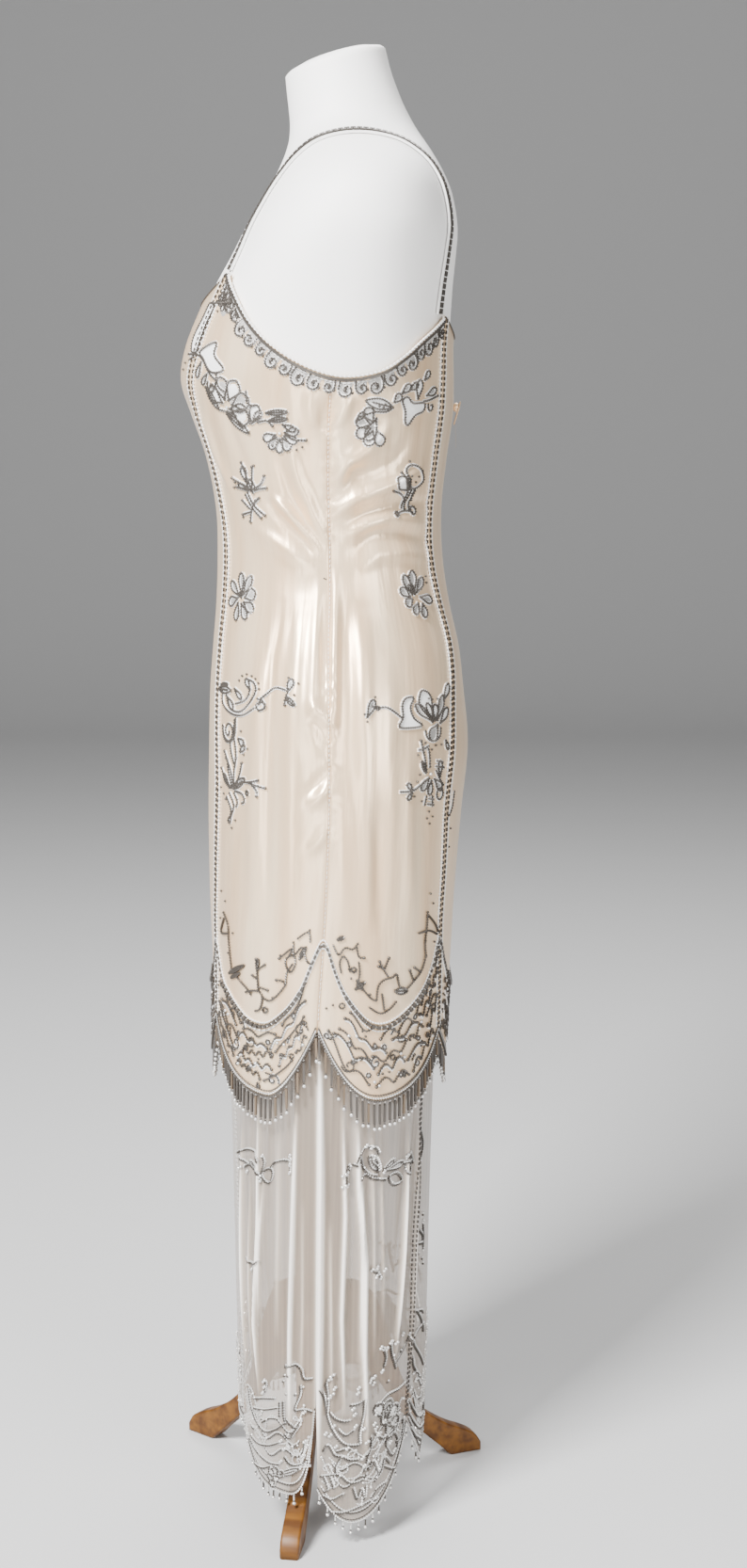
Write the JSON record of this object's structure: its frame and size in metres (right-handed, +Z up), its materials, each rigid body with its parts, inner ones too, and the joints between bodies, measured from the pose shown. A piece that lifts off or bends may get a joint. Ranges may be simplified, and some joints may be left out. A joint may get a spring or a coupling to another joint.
{
  "type": "beaded wedding dress on a dress form",
  "caption": "Beaded satin slip wedding dress over a sheer net underskirt, with scalloped fringed hems, on a white dress form with a wooden tripod stand.",
  "frame": {"origin": "on the floor, at the middle of the part's footprint, just in front of the stand's column", "axes": "+Z up; -Y is the dress's front; +X is the dress's own left side"},
  "size_m": [0.3532, 0.313, 1.4155],
  "materials": {
    "satin": "satin",
    "net": "matte",
    "beads": "gloss",
    "form_cover": "matte",
    "wood": "satin"
  },
  "bodies": {
    "root": {"form_torso": "form_cover", "satin_front": "satin", "satin_back": "satin", "satin_side_front_left": "satin", "satin_side_front_right": "satin", "satin_side_back_left": "satin", "satin_side_back_right": "satin", "net_front": "net", "net_back": "net", "net_side_front_left": "net", "net_side_front_right": "net", "net_side_back_left": "net", "net_side_back_right": "net", "fringe_front": "beads", "fringe_back": "beads", "fringe_side_front_left": "beads", "fringe_side_front_right": "beads", "fringe_side_back_left": "beads", "fringe_side_back_right": "beads", "net_fringe_front": "beads", "net_fringe_side_front_left": "beads", "net_fringe_side_front_right": "beads", "net_fringe_side_back_left": "beads", "net_fringe_side_back_right": "beads", "net_fringe_back_left": "beads", "net_fringe_back_right": "beads", "strap_left": "beads", "strap_cord_left": "satin", "strap_right": "beads", "strap_cord_right": "satin", "back_button": "satin", "stand_column": "wood", "stand_leg_near": "wood", "stand_leg_back": "wood", "stand_leg_front": "wood"}
  },
  "joints": []
}
